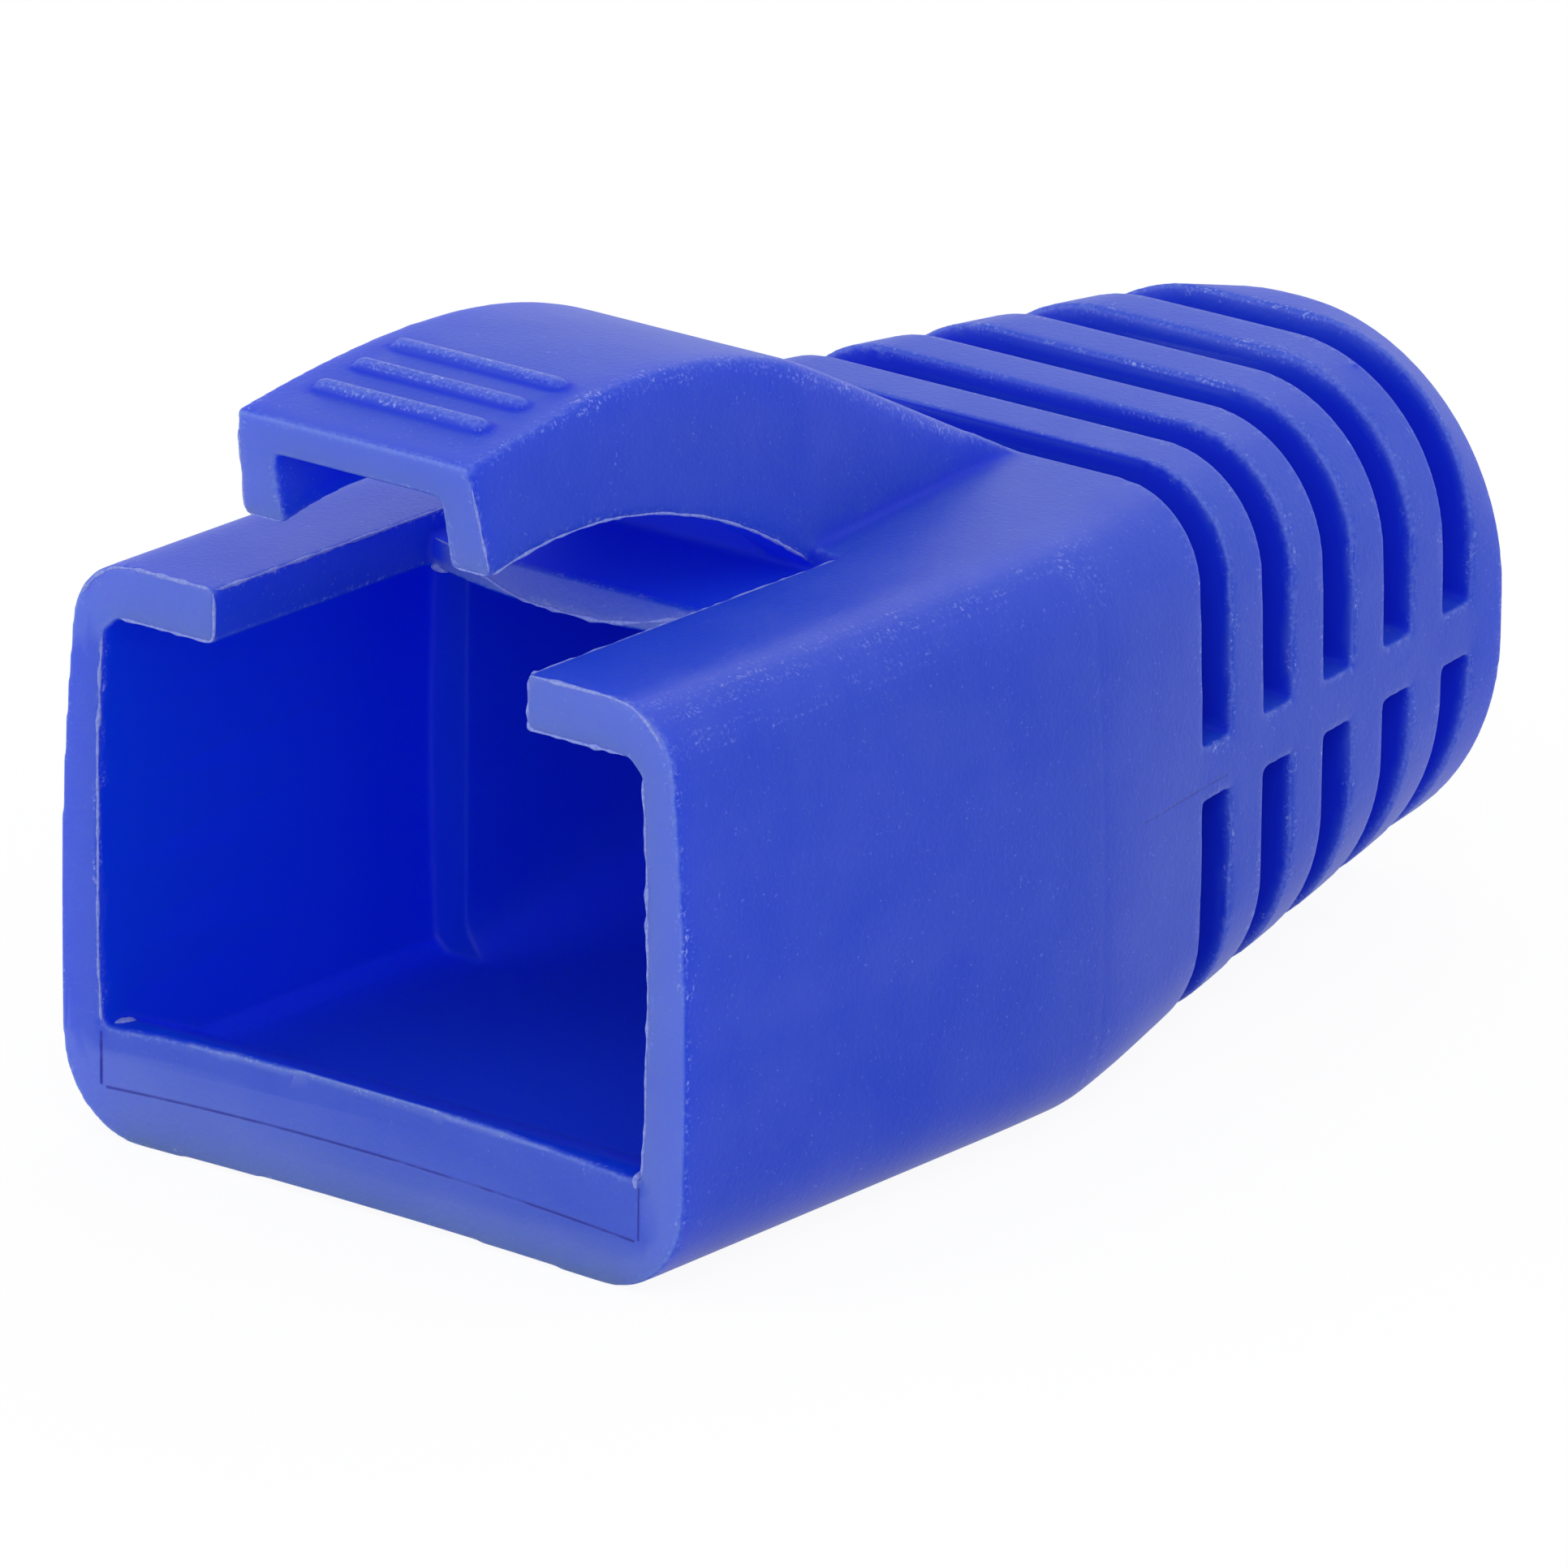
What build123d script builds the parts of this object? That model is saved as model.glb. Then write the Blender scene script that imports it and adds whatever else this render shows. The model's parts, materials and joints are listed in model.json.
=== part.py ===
"""Boot for a modular network plug: square hood, latch guard and ribbed sleeve, moulded in one piece.

Millimetres. The origin is the middle of the mouth, on the cable's axis. +Y runs along the cable, from
the mouth to the sleeve's end, and +Z is up, on the side of the plug's latch.
"""
import os

from build123d import *

# Plug and cable that the boot takes
plug_width = 11.7
plug_height = 8.3
plug_depth = 8.9
plug_clearance = 0.1
cable_diameter = 7.8
cable_clearance = 0.1
ring_clearance = 0.3

# Walls round the plug
side_wall = 0.75
top_wall = 1.0
floor_wall = 1.12
cavity_drop = 0.15
cavity_bulge = 0.16
cavity_corner = 0.3

# Hood
hood_length = 11.6
sleeve_start = 15.1
hood_bulge = 0.27
hood_lean = 0.15
hood_top_radius = 1.3
hood_bottom_radius = 1.75
underside_arch = 0.2

# Stop behind the plug and the funnel that leads to the cable
stop_step = 0.7
funnel_corner = 0.8
throat_corner = 4.0
bore_lead = 0.5

# Sill across the floor of the mouth
sill_height = 1.0
sill_crown = 0.27
sill_length = 3.0

# Slot for the plug's latch
slot_width = 6.92
slot_length = 5.75
slot_bow = 0.6
recess_length = 8.45
recess_depth = 0.45
recess_ramp = 0.4

# Latch guard over the slot
guard_half_width = 2.9
guard_tail_half_width = 2.05
guard_draft = 4.75
guard_front = -0.49
guard_lean = 0.43
guard_front_height = 3.54
guard_front_slope = 0.15
guard_crest = 4.05
guard_crest_place = 3.8
guard_shoulder = 3.02
guard_shoulder_place = 9.0
guard_plate = 0.99
guard_channel = 3.66
guard_gap = 1.51
arch_rise = 0.27
arch_crest_place = 2.6
arch_shoulder = 1.17
arch_shoulder_place = 5.7
seat_depth = 0.35
guard_margin = 1.0

# Grip ridges on the guard
ridge_count = 3
ridge_length = 3.4
ridge_radius = 0.2
ridge_pitch = 1.02
first_ridge = 0.87
ridge_bow = 0.3

# Sleeve with slots above and below two side webs
sleeve_half = 6.2
sleeve_bulge = 0.14
sleeve_lean = 0.08
sleeve_rise = 0.2
sleeve_arch = 0.1
sleeve_top_radius = 1.75
sleeve_bottom_radius = 2.4
collar_half_width = 4.87
collar_half_height = 5.05
collar_crown = 0.1
collar_bulge = 0.04
collar_top_radius = 3.6
collar_bottom_radius = 4.4
end_half = 4.84
end_radius = 4.7
slot_count = 5
slot_pitch = 2.17
slot_gap = 1.0
collar_length = 1.05
web_height = 1.0

# Places worked out from the sizes above
cavity_half = plug_width / 2 + plug_clearance
cavity_height = plug_height + 2 * plug_clearance
ceiling = cavity_height / 2 - cavity_drop
floor = -cavity_height / 2 - cavity_drop
hood_top = ceiling + top_wall
underside = floor - floor_wall
hood_half = cavity_half + side_wall
sill_half = cavity_half + cavity_bulge
sill_top = floor + sill_height
bore_radius = cable_diameter / 2 + cable_clearance
ring_bore_radius = cable_diameter / 2 + ring_clearance
bore_start = sleeve_start - bore_lead
guard_bottom = hood_top + guard_gap
slot_half = slot_width / 2
ridge_places = [first_ridge + number * ridge_pitch for number in range(ridge_count)]
last_slot_end = sleeve_start + (slot_count - 1) * slot_pitch + slot_gap
sleeve_end = last_slot_end + collar_length


def skin_section(place, half, bulge, lean, top, bottom, arch, top_radius, bottom_radius, crown=0):
    """Outline of the outside across the cable's axis: bulged sides, arched underside, flat or crowned top."""
    with BuildSketch(Plane.XZ.offset(-place)) as section:
        with BuildLine():
            if crown:
                ThreePointArc((lean - half, top), (0, top + crown), (half - lean, top))
            else:
                Line((lean - half, top), (half - lean, top))
            ThreePointArc((half - lean, top), (half + bulge, (top + bottom) / 2), (half + lean, bottom))
            ThreePointArc((half + lean, bottom), (0, bottom + arch), (-half - lean, bottom))
            ThreePointArc((-half - lean, bottom), (-half - bulge, (top + bottom) / 2), (lean - half, top))
        make_face()
        fillet(section.vertices().group_by(Axis.Y)[-1], top_radius)
        fillet(section.vertices().group_by(Axis.Y)[0], bottom_radius)
    return section.sketch


def hood_section(place):
    """Outline of the hood's outside."""
    radii = (hood_top_radius, hood_bottom_radius)
    return skin_section(place, hood_half, hood_bulge, hood_lean, hood_top, underside, underside_arch, *radii)


def ridge_height(place):
    """Height of the guard's top at this distance from the mouth, on its rise to the crest."""
    rise = (place - guard_front) / (guard_crest_place - guard_front)
    climb = guard_crest - guard_front_height
    return hood_top + guard_front_height + climb * rise * (1 + ridge_bow * (1 - rise))


# Latch guard: drafted plan, cut to its side profile, hollow underneath between two legs
with BuildPart() as guard:
    with BuildSketch(Plane.XY.offset(hood_top - seat_depth)):
        with BuildLine():
            Polyline(
                (-guard_half_width, guard_front - guard_margin),
                (guard_half_width, guard_front - guard_margin),
                (guard_half_width, recess_length),
                (guard_tail_half_width, sleeve_start),
                (-guard_tail_half_width, sleeve_start),
                (-guard_half_width, recess_length),
                close=True,
            )
        make_face()
    extrude(amount=seat_depth + guard_crest + guard_margin, taper=guard_draft)
    with BuildSketch(Plane.YZ):
        with BuildLine():
            front_foot = (guard_front + guard_lean, guard_bottom)
            front_top = (guard_front, hood_top + guard_front_height)
            tail = (sleeve_start, hood_top)
            seat = (recess_length, hood_top - seat_depth)
            Line(front_foot, front_top)
            shoulder = (guard_shoulder_place, hood_top + guard_shoulder)
            Spline(
                front_top,
                (guard_crest_place, hood_top + guard_crest),
                shoulder,
                tangents=[(1, guard_front_slope), (tail[0] - shoulder[0], tail[1] - shoulder[1])],
            )
            Polyline(shoulder, tail, (sleeve_start, hood_top - seat_depth), seat)
            Spline(
                seat,
                (arch_shoulder_place, hood_top + arch_shoulder),
                (arch_crest_place, guard_bottom + arch_rise),
                front_foot,
            )
        make_face()
    extrude(amount=2 * guard_half_width, both=True, mode=Mode.INTERSECT)
    with BuildSketch(Plane.YZ):
        with BuildLine():
            roof_front = (guard_front - guard_margin, front_top[1] - guard_plate)
            roof_rear = (recess_length, hood_top + guard_shoulder - guard_plate)
            Spline(
                roof_front,
                (guard_crest_place, hood_top + guard_crest - guard_plate),
                roof_rear,
            )
            Polyline(roof_rear, seat, (guard_front - guard_margin, hood_top - seat_depth), roof_front)
        make_face()
    extrude(amount=guard_channel / 2, both=True, mode=Mode.SUBTRACT)

# Sill, a low wedge across the floor of the mouth, crowned in the middle
with BuildPart() as sill:
    with BuildSketch(Plane.XZ):
        with BuildLine():
            Polyline(
                (-sill_half, sill_top),
                (-sill_half, floor - seat_depth),
                (sill_half, floor - seat_depth),
                (sill_half, sill_top),
            )
            ThreePointArc((sill_half, sill_top), (0, sill_top + sill_crown), (-sill_half, sill_top))
        make_face()
    extrude(amount=-sill_length)
    with BuildSketch(Plane.YZ):
        with BuildLine():
            Polyline(
                (0, floor - seat_depth),
                (0, sill_top + sill_crown),
                (sill_length, floor),
                (sill_length, floor - seat_depth),
                close=True,
            )
        make_face()
    extrude(amount=sill_half, both=True, mode=Mode.INTERSECT)

with BuildPart() as boot:
    # Hood and sleeve, one skin from the mouth to the collar
    sleeve_front = skin_section(
        sleeve_start,
        sleeve_half,
        sleeve_bulge,
        sleeve_lean,
        hood_top,
        underside + sleeve_rise,
        sleeve_arch,
        sleeve_top_radius,
        sleeve_bottom_radius,
    )
    collar = skin_section(
        last_slot_end,
        collar_half_width,
        collar_bulge,
        0,
        collar_half_height,
        -collar_half_height,
        -collar_bulge,
        collar_top_radius,
        collar_bottom_radius,
        collar_crown,
    )
    end = skin_section(
        sleeve_end,
        end_half,
        collar_bulge,
        0,
        collar_half_height,
        -collar_half_height,
        -collar_bulge,
        end_radius,
        end_radius,
    )
    loft(sections=[hood_section(0), hood_section(hood_length), sleeve_front, collar, end], ruled=True)

    # Hollow for the plug, a little wider at half height
    with BuildSketch(Plane.XZ) as cavity:
        with BuildLine():
            Line((-cavity_half, ceiling), (cavity_half, ceiling))
            ThreePointArc(
                (cavity_half, ceiling),
                (cavity_half + cavity_bulge, -cavity_drop),
                (cavity_half, floor),
            )
            Line((cavity_half, floor), (-cavity_half, floor))
            ThreePointArc(
                (-cavity_half, floor),
                (-cavity_half - cavity_bulge, -cavity_drop),
                (-cavity_half, ceiling),
            )
        make_face()
        chamfer(cavity.vertices(), cavity_corner)
    extrude(amount=-plug_depth, mode=Mode.SUBTRACT)

    # Stop behind the plug, a funnel to the cable, the rings' bore and the collar's closer one
    with BuildSketch(Plane.XZ.offset(-plug_depth)):
        with Locations((0, -cavity_drop - stop_step / 2)):
            RectangleRounded(2 * (cavity_half - stop_step), cavity_height - stop_step, funnel_corner)
    with BuildSketch(Plane.XZ.offset(-bore_start)):
        RectangleRounded(2 * ring_bore_radius, 2 * ring_bore_radius, throat_corner)
    loft(ruled=True, mode=Mode.SUBTRACT)
    with BuildSketch(Plane.XZ.offset(-bore_start)):
        Circle(ring_bore_radius)
    extrude(amount=bore_start - last_slot_end, mode=Mode.SUBTRACT)
    with BuildSketch(Plane.XZ.offset(-last_slot_end)):
        Circle(bore_radius)
    extrude(amount=last_slot_end - sleeve_end, mode=Mode.SUBTRACT)

    add(sill.part)

    # Slot for the latch, with a bowed end and a shallow recess that runs on under the guard
    with BuildSketch(Plane.XY.offset(ceiling)):
        with BuildLine():
            Polyline(
                (-slot_half, slot_length),
                (-slot_half, -slot_length),
                (slot_half, -slot_length),
                (slot_half, slot_length),
            )
            ThreePointArc(
                (slot_half, slot_length),
                (0, slot_length - slot_bow),
                (-slot_half, slot_length),
            )
        make_face()
    extrude(amount=2 * top_wall, mode=Mode.SUBTRACT)
    with BuildSketch(Plane.YZ):
        with BuildLine():
            Polyline(
                (slot_length - slot_bow, ceiling),
                (slot_length - slot_bow + recess_ramp, hood_top - recess_depth),
                (recess_length, hood_top - recess_depth),
                (recess_length, hood_top + top_wall),
                (slot_length - slot_bow, hood_top + top_wall),
                close=True,
            )
        make_face()
    extrude(amount=slot_half, both=True, mode=Mode.SUBTRACT)

    # Guard over the slot, rooted behind it, with grip ridges across its top
    add(guard.part)
    with Locations(*[(0, place, ridge_height(place)) for place in ridge_places]):
        Cylinder(ridge_radius, ridge_length, rotation=(0, 90, 0))
        for side in (-1, 1):
            with Locations((side * ridge_length / 2, 0, 0)):
                Sphere(ridge_radius)

    # Slots in the sleeve, above and below the side webs
    slot_size = 2 * hood_half
    for number in range(slot_count):
        middle = sleeve_start + number * slot_pitch + slot_gap / 2
        for side in (-1, 1):
            with Locations((0, middle, side * (web_height + slot_size) / 2)):
                Box(2 * slot_size, slot_gap, slot_size, mode=Mode.SUBTRACT)

boot.part.label = "boot"

os.makedirs("parts", exist_ok=True)
export_step(boot.part, "parts/boot.step")
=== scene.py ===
"""Soft plastic boot for a modular network plug, dressed and lit like a catalogue picture.

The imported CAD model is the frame. The boot is one moulding: its sharp CAD form is turned into a
skin with the small radii that a mould leaves, and the flash that the mould leaves at its edges is
added to it. The scene is in metres, with the origin in the middle of the mouth, +Y along the cable
and +Z on the side of the plug's latch. Sizes of the moulding are written in millimetres and scaled
where they enter a mesh.
"""
import json
import logging
from dataclasses import dataclass, field
from enum import Enum

import bmesh
import bpy
import numpy as np
from mathutils import Matrix, Vector

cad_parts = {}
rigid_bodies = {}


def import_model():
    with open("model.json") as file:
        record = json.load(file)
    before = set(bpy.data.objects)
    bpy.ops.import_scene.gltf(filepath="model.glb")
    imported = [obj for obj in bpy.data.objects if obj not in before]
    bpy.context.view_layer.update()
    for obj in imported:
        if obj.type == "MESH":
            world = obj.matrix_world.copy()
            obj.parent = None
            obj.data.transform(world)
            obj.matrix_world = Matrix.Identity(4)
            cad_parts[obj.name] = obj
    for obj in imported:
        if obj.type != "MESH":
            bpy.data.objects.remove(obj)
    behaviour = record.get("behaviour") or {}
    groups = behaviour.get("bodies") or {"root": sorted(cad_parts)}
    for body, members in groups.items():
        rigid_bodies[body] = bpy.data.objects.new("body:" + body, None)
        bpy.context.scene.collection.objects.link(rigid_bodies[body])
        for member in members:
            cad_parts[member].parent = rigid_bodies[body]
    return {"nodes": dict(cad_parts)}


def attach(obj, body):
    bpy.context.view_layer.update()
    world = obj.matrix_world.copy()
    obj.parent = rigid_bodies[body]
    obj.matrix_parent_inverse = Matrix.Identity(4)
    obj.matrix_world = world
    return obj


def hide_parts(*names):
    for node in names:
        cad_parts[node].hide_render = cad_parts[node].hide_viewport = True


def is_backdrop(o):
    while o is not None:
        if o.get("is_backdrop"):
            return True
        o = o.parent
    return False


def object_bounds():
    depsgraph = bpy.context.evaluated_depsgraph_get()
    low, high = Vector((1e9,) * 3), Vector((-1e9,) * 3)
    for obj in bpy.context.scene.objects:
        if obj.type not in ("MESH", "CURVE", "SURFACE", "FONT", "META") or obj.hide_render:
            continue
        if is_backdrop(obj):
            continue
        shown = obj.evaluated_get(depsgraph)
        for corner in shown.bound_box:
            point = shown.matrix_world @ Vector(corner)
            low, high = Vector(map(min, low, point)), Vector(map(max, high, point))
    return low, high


LOG = logging.getLogger("boot")
MM = 0.001
PHOTO_PIXELS = 1932

Colour = tuple[float, float, float, float]
Place = tuple[float, float, float]
Span = tuple[float, float]
Ramp = tuple[float, float, float, float]

WHITE: Colour = (1.0, 1.0, 1.0, 1.0)


class Ray(Enum):
    """Rays of the light path that see the backdrop as plain white."""

    CAMERA = "Is Camera Ray"
    GLOSSY = "Is Glossy Ray"
    TRANSMISSION = "Is Transmission Ray"


class Mask(Enum):
    """Attributes of the moulding's vertices that the finish reads."""

    GRAIN = "grain"
    # Painted highlights: glinting specks along the convex edges, the ridges' crests and the flash.
    EDGE = "edge"
    # Painted glints, thickest on the gently rounded corners.
    CORNER = "corner"
    # Painted sheen on the faces turned to the front.
    FRONT_SHEEN = "front_sheen"
    # Painted fill light: a brighter, purer blue in the hollow and under the guard.
    PAINTED_FILL = "hollow"
    # Painted shade in the slots, the inward creases and the bore.
    PAINTED_SHADE = "slot"
    GLOW = "glow"


def add_node(tree: bpy.types.NodeTree, kind: str, **values: object) -> bpy.types.Node:
    """Adds a shader node and sets its sockets and options.

    Args:
        tree: Node tree that gets the node.
        kind: Blender's name of the node's type.
        **values: Socket values or node options, named with _ for a space.

    Returns:
        The new node.
    """
    node = tree.nodes.new(kind)
    for name, value in values.items():
        socket = name.replace("_", " ")
        if socket in node.inputs:
            node.inputs[socket].default_value = value
        else:
            setattr(node, name, value)
    return node


def shape_values(value: np.ndarray, low: float, high: float) -> np.ndarray:
    """Smooth step: 0 below low, 1 above high, and 3t^2 - 2t^3 of the way t between them.

    Args:
        value: Numbers to shape.
        low: Value up to which the result is 0.
        high: Value from which the result is 1.

    Returns:
        The shaped numbers.
    """
    way = np.clip((value - low) / (high - low), 0.0, 1.0)
    return way * way * (3.0 - 2.0 * way)


def scaled(
    tree: bpy.types.NodeTree,
    value: bpy.types.NodeSocket,
    low: float,
    high: float,
    first: float,
    last: float,
) -> bpy.types.NodeSocket:
    """Maps a socket's values from low to high onto first to last.

    Args:
        tree: Node tree of the material.
        value: Socket with the values.
        low: Value that becomes first.
        high: Value that becomes last.
        first: Result at and below low.
        last: Result at and above high.

    Returns:
        Socket with the mapped values.
    """
    mapped = add_node(
        tree, "ShaderNodeMapRange", From_Min=low, From_Max=high, To_Min=first, To_Max=last
    )
    tree.links.new(value, mapped.inputs["Value"])
    return mapped.outputs["Result"]


def combined(
    tree: bpy.types.NodeTree,
    operation: str,
    first: bpy.types.NodeSocket,
    second: bpy.types.NodeSocket,
) -> bpy.types.NodeSocket:
    """Joins two sockets' values with a Math node.

    Args:
        tree: Node tree of the material.
        operation: Blender's name of the operation.
        first: First socket.
        second: Second socket.

    Returns:
        Socket with the result, kept between 0 and 1.
    """
    joined = add_node(tree, "ShaderNodeMath", operation=operation, use_clamp=True)
    tree.links.new(first, joined.inputs[0])
    tree.links.new(second, joined.inputs[1])
    return joined.outputs["Value"]


@dataclass(frozen=True)
class Crease:
    """Hairline where two parts of the mould met, along a thin box. In millimetres."""

    middle: Place
    half: Place
    strength: float = 1.0
    arch: float = 0.0
    width: float = 0.02
    fade: Span = (0.4, 1.6)

    def build(self, tree: bpy.types.NodeTree, place: bpy.types.NodeSocket) -> bpy.types.NodeSocket:
        """Makes the mask of the hairline from the distance to its box.

        The box bends up by the arch in the middle: the height is less by arch (1 - (x / half)^2).
        The distance is the length of |p - middle| - half, with each part of it at least 0.

        Args:
            tree: Node tree of the material.
            place: Socket with the object coordinates.

        Returns:
            Socket with the strength on the hairline and 0 away from it.
        """
        link = tree.links.new
        at = place
        if self.arch:
            parts = add_node(tree, "ShaderNodeSeparateXYZ")
            link(place, parts.inputs[0])
            across, along, up = parts.outputs
            drop = add_node(tree, "ShaderNodeMath", operation="MULTIPLY_ADD")
            link(combined(tree, "MULTIPLY", across, across), drop.inputs[0])
            drop.inputs[1].default_value = self.arch / self.half[0] ** 2 / MM
            link(up, drop.inputs[2])
            joined = add_node(tree, "ShaderNodeCombineXYZ")
            for part, socket in zip((across, along, drop.outputs[0]), joined.inputs):
                link(part, socket)
            at = joined.outputs[0]
        middle = Vector(self.middle) + Vector((0.0, 0.0, self.arch))
        steps = (("SUBTRACT", middle), ("ABSOLUTE", None), ("SUBTRACT", self.half))
        for operation, value in steps:
            step = add_node(tree, "ShaderNodeVectorMath", operation=operation)
            link(at, step.inputs[0])
            if value is not None:
                step.inputs[1].default_value = [part * MM for part in value]
            at = step.outputs["Vector"]
        outer = add_node(tree, "ShaderNodeVectorMath", operation="MAXIMUM")
        link(at, outer.inputs[0])
        away = add_node(tree, "ShaderNodeVectorMath", operation="LENGTH")
        link(outer.outputs["Vector"], away.inputs[0])
        start, end = (share * self.width * MM for share in self.fade)
        return scaled(tree, away.outputs["Value"], start, end, self.strength, 0.0)


@dataclass(frozen=True)
class MouldedPlastic:
    """Saturated blue soft plastic, matte, with the fine grain of a spark-cut mould."""

    deep: Colour = (0.0, 0.054, 0.64, 1.0)
    # Pale: painted sheen on the front faces, and faint random clouds.
    pale: Colour = (0.155, 0.235, 0.78, 1.0)
    # Inner: painted fill light in the hollow and under the guard.
    inner: Colour = (0.0, 0.045, 0.97, 1.0)
    # Shaded: painted shade in the slots, the creases and the bore.
    shaded: Colour = (0.0, 0.028, 0.74, 1.0)
    # Bright: painted glints and painted edge highlights.
    bright: Colour = (0.36, 0.44, 0.92, 1.0)
    dark: Colour = (0.0, 0.012, 0.34, 1.0)
    roughness: float = 0.44
    hollow_roughness: float = 0.75
    specular: float = 0.35
    glow: float = 0.8
    glow_radius: Place = (0.1, 0.3, 4.0)
    grain_depth: float = 0.012
    crease_depth: float = 0.02
    grain: Span = (0.11, 3.0)
    clouds: Span = (1.8, 4.0)
    patches: Span = (0.8, 2.0)
    specks: Span = (0.07, 1.0)
    noise_roughness: float = 0.6
    # Share of the pale colour that the painted sheen on the front faces gets.
    front_sheen: Ramp = (0.0, 1.0, 0.0, 0.72)
    haze: Ramp = (0.3, 0.7, 0.04, 0.16)
    gathering: Ramp = (0.42, 0.62, 0.25, 1.0)
    # Painted glints of the grain: lone ones, thick ones on the corners, and those along the edges.
    lone_specks: Ramp = (0.69, 0.76, 0.0, 0.35)
    thick_specks: Ramp = (0.53, 0.68, 0.0, 0.7)
    edge_glint_specks: Ramp = (0.3, 0.65, 0.25, 0.8)
    broken_hairlines: Ramp = (0.35, 0.55, 0.35, 1.0)
    smooth_share: float = 0.15
    creases: tuple[Crease, ...] = (
        Crease((0.0, 0.0, -4.49), (5.9, 0.3, 0.0), 0.8, 0.2, 0.025),
        Crease((-6.03, 0.0, -3.98), (0.0, 0.3, 0.46), 1.0, 0.0, 0.03),
        Crease((6.0, 0.0, -3.98), (0.0, 0.3, 0.46), 0.8),
        Crease((0.9, 3.0, -4.4), (3.4, 0.0, 0.3), 0.5),
        Crease((6.3, 14.4, -0.2), (0.6, 1.5, 0.0), 0.6),
    )

    def build(self) -> bpy.types.Material:
        """Makes the material.

        The colour runs from deep to pale with painted sheen on the faces turned to the front and
        faint
        clouds. Bright specks are painted glints: they lie in patches, thickest on the rounded
        corners, and as painted highlights along the convex edges and the flash. Hairlines are
        darker and sunk, painted fill light gives the hollow and the faces under the guard a
        brighter, purer blue, and painted shade gives the slots and creases a darker one. Less light
        passes under the skin of thin walls.

        Returns:
            The finished material.
        """
        material = bpy.data.materials.new("boot_plastic")
        material.use_nodes = True
        tree = material.node_tree
        tree.nodes.clear()
        link = tree.links.new
        place = add_node(tree, "ShaderNodeTexCoord").outputs["Object"]
        masks = {
            mask: add_node(tree, "ShaderNodeAttribute", attribute_name=mask.value).outputs["Fac"]
            for mask in Mask
        }
        clouds = self.noise(tree, place, *self.clouds)
        patches = self.noise(tree, place, *self.patches)
        grain = self.noise(tree, place, *self.grain)
        specks = self.noise(tree, place, *self.specks)

        # Painted sheen on the faces turned to the front.
        front_sheen = scaled(tree, masks[Mask.FRONT_SHEEN], *self.front_sheen)
        haze = combined(tree, "MULTIPLY", scaled(tree, clouds, *self.haze), masks[Mask.GRAIN])
        paleness = combined(tree, "ADD", front_sheen, haze)

        # Painted glints: specks in patches on the grain and the corners, and along the convex
        # edges.
        gathered = scaled(tree, patches, *self.gathering)
        lone = scaled(tree, specks, *self.lone_specks)
        lone = combined(tree, "MULTIPLY", lone, masks[Mask.GRAIN])
        thick = scaled(tree, specks, *self.thick_specks)
        thick = combined(tree, "MULTIPLY", thick, masks[Mask.CORNER])
        edge_glint = scaled(tree, specks, *self.edge_glint_specks)
        edge_glint = combined(tree, "MULTIPLY", edge_glint, masks[Mask.EDGE])
        shine = combined(tree, "MULTIPLY", combined(tree, "ADD", lone, thick), gathered)
        shine = combined(tree, "ADD", shine, edge_glint)

        hairline = self.creases[0].build(tree, place)
        for crease in self.creases[1:]:
            hairline = combined(tree, "MAXIMUM", hairline, crease.build(tree, place))
        broken = scaled(tree, patches, *self.broken_hairlines)
        hairline = combined(tree, "MULTIPLY", hairline, broken)

        # Painted fill light brightens the hollow and the faces under the guard.
        colour = self.blend(tree, masks[Mask.PAINTED_FILL], self.deep, self.inner)
        colour = self.blend(tree, paleness, colour, self.pale)
        # Painted shade in the slots, the inward creases and the bore.
        colour = self.blend(tree, masks[Mask.PAINTED_SHADE], colour, self.shaded)
        colour = self.blend(tree, shine, colour, self.bright)
        colour = self.blend(tree, hairline, colour, self.dark)

        sunk = add_node(tree, "ShaderNodeBump", Distance=self.crease_depth * MM, invert=True)
        link(hairline, sunk.inputs["Height"])
        rough = add_node(tree, "ShaderNodeBump", Distance=self.grain_depth * MM)
        link(grain, rough.inputs["Height"])
        rough_share = scaled(tree, masks[Mask.GRAIN], 0.0, 1.0, self.smooth_share, 1.0)
        link(rough_share, rough.inputs["Strength"])
        link(sunk.outputs["Normal"], rough.inputs["Normal"])

        surface = add_node(
            tree,
            "ShaderNodeBsdfPrincipled",
            Specular_IOR_Level=self.specular,
            Subsurface_Radius=self.glow_radius,
            Subsurface_Scale=MM,
        )
        link(colour, surface.inputs["Base Color"])
        glow = scaled(tree, masks[Mask.GLOW], 0.0, 1.0, 0.0, self.glow)
        link(glow, surface.inputs["Subsurface Weight"])
        dull = combined(tree, "MAXIMUM", masks[Mask.PAINTED_FILL], masks[Mask.PAINTED_SHADE])
        roughness = scaled(tree, dull, 0.0, 1.0, self.roughness, self.hollow_roughness)
        link(roughness, surface.inputs["Roughness"])
        link(rough.outputs["Normal"], surface.inputs["Normal"])
        output = add_node(tree, "ShaderNodeOutputMaterial")
        link(surface.outputs["BSDF"], output.inputs["Surface"])
        return material

    def noise(
        self, tree: bpy.types.NodeTree, place: bpy.types.NodeSocket, size: float, detail: float
    ) -> bpy.types.NodeSocket:
        """Adds a noise of the given size in millimetres.

        Args:
            tree: Node tree of the material.
            place: Socket with the object coordinates.
            size: Size of the noise's blobs.
            detail: How many finer layers it has.

        Returns:
            Socket with the noise, about 0.5 on average.
        """
        texture = add_node(tree, "ShaderNodeTexNoise", Scale=1 / (size * MM), Detail=detail)
        texture.inputs["Roughness"].default_value = self.noise_roughness
        tree.links.new(place, texture.inputs["Vector"])
        return texture.outputs["Fac"]

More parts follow.
